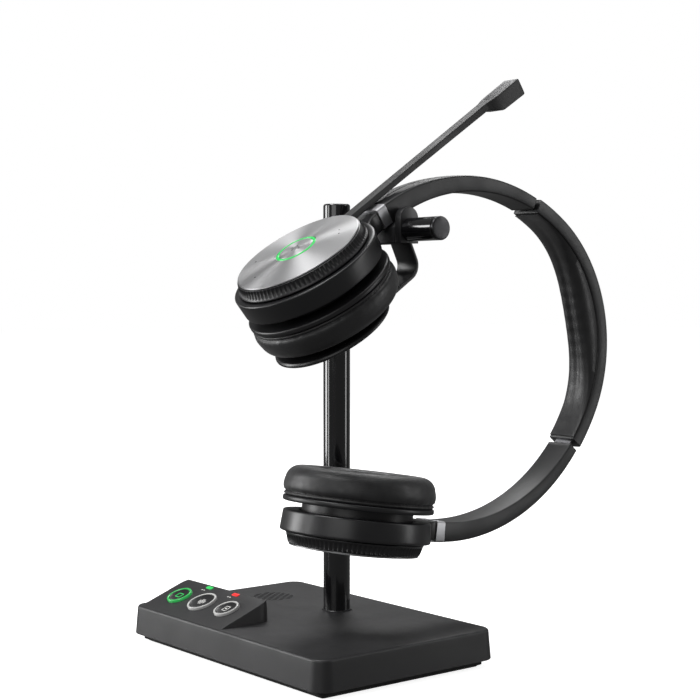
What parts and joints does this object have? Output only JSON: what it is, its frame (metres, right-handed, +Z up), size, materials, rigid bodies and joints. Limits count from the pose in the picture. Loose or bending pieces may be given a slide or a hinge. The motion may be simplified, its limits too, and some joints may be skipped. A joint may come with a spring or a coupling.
{
  "type": "office headset with charging base",
  "caption": "Wireless office headset with microphone boom, resting on the arm and charging pad of its desk base with call buttons.",
  "frame": {"origin": "centre of the base's underside, on the surface it stands on", "axes": "+X right along the front of the base, +Y rearwards, +Z up"},
  "size_m": [0.1464, 0.208, 0.263],
  "materials": {
    "casing_plastic": "satin charcoal moulded plastic",
    "gloss_black": "gloss black",
    "satin_black": "satin black",
    "matt_grey": "matt dark grey",
    "rubber": "matt rubber",
    "brushed_metal": "brushed",
    "steel": "plain steel",
    "green_window": "translucent green",
    "red_window": "translucent red",
    "white_ring": "satin white",
    "board": "coated circuit board",
    "leather": "soft black leatherette",
    "cloth": "black acoustic cloth",
    "copper": "wound copper"
  },
  "bodies": {
    "base": {"base_casing": "casing_plastic", "base_bottom_plate": "satin_black", "rubber_base_pad": "rubber", "ballast_plate": "steel", "base_circuit_board": "board", "loudspeaker": "satin_black", "usb_socket": "steel", "phone_socket": "satin_black", "button_ring_left": "green_window", "button_ring_centre": "white_ring", "button_ring_right": "white_ring", "led_window_green": "green_window", "led_window_red": "red_window", "stand_post": "gloss_black", "post_screw": "steel", "stand_arm": "gloss_black", "arm_screw": "steel", "arm_end_cap": "steel", "arm_saddle": "matt_grey", "charging_bracket": "satin_black", "charging_pad_cover": "satin_black", "charging_coil": "copper"},
    "left_key": {"button_left": "satin_black"},
    "centre_key": {"button_centre": "satin_black"},
    "right_key": {"button_right": "satin_black"},
    "upper_arm": {"side_arm_upper": "satin_black", "slider_strip_upper": "steel", "clip_upper": "brushed_metal", "housing_upper": "satin_black", "ball_stud_upper": "steel", "disc_upper": "brushed_metal", "light_ring": "green_window", "headset_circuit_board": "board"},
    "boom": {"boom_ring": "satin_black", "boom_bar": "satin_black", "mic_grille": "matt_grey", "mic_capsule": "steel"},
    "call_key": {"call_button": "brushed_metal"},
    "crown": {"crown_shell": "satin_black", "crown_pad": "leather"},
    "lower_arm": {"side_arm_lower": "satin_black", "slider_strip_lower": "steel", "clip_lower": "brushed_metal", "housing_lower": "satin_black", "ball_stud_lower": "steel", "trim_ring": "satin_black", "disc_lower": "brushed_metal", "battery": "matt_grey"},
    "upper_gimbal": {"ball_bush_upper": "white_ring"},
    "upper_ear": {"neck_upper": "satin_black", "cushion_plate_upper": "satin_black", "ear_cushion_upper": "leather", "driver_upper": "satin_black", "scrim_upper": "cloth"},
    "lower_gimbal": {"ball_bush_lower": "white_ring"},
    "lower_ear": {"neck_lower": "satin_black", "cushion_plate_lower": "satin_black", "ear_cushion_lower": "leather", "driver_lower": "satin_black", "scrim_lower": "cloth"}
  },
  "joints": [
    {"name": "lift_off", "type": "slide", "parent": "base", "child": "upper_arm", "axis": [0, -0.5619, 0.8272], "range_m": [0, 0.03]},
    {"name": "upper_extension", "type": "hinge", "parent": "upper_arm", "child": "crown", "pos_m": [0.035, 0.06332, 0.11436], "axis": [-1, 0, 0], "range_deg": [-1.2, 9.5]},
    {"name": "lower_extension", "type": "hinge", "parent": "crown", "child": "lower_arm", "pos_m": [0.035, 0.05449, 0.15213], "axis": [-1, 0, 0], "range_deg": [-1.2, 9.5]},
    {"name": "upper_ear_tilt", "type": "hinge", "parent": "upper_arm", "child": "upper_gimbal", "pos_m": [0.035, -0.02247, 0.16722], "axis": [1, 0, 0], "range_deg": [-3, 3]},
    {"name": "upper_ear_swivel", "type": "hinge", "parent": "upper_gimbal", "child": "upper_ear", "pos_m": [0.035, -0.02247, 0.16722], "axis": [0, 0.8272, 0.5619], "range_deg": [-3, 3]},
    {"name": "lower_ear_tilt", "type": "hinge", "parent": "lower_arm", "child": "lower_gimbal", "pos_m": [0.035, 0.00103, 0.06671], "axis": [1, 0, 0], "range_deg": [-3, 3]},
    {"name": "lower_ear_swivel", "type": "hinge", "parent": "lower_gimbal", "child": "lower_ear", "pos_m": [0.035, 0.00103, 0.06671], "axis": [0, 0.9906, -0.1369], "range_deg": [-3, 3]},
    {"name": "boom_turn", "type": "hinge", "parent": "upper_arm", "child": "boom", "pos_m": [0.035, -0.03118, 0.18004], "axis": [0, -0.5619, 0.8272], "range_deg": [-150, 150]},
    {"name": "call_press", "type": "slide", "parent": "upper_arm", "child": "call_key", "axis": [0, 0.5619, -0.8272], "range_m": [0, 0.0005], "stiffness_N_per_m": 600},
    {"name": "left_press", "type": "slide", "parent": "base", "child": "left_key", "axis": [0, 0.3535, -0.9354], "range_m": [0, 0.0008], "stiffness_N_per_m": 500},
    {"name": "centre_press", "type": "slide", "parent": "base", "child": "centre_key", "axis": [0, 0.3535, -0.9354], "range_m": [0, 0.0008], "stiffness_N_per_m": 500},
    {"name": "right_press", "type": "slide", "parent": "base", "child": "right_key", "axis": [0, 0.3535, -0.9354], "range_m": [0, 0.0008], "stiffness_N_per_m": 500}
  ]
}
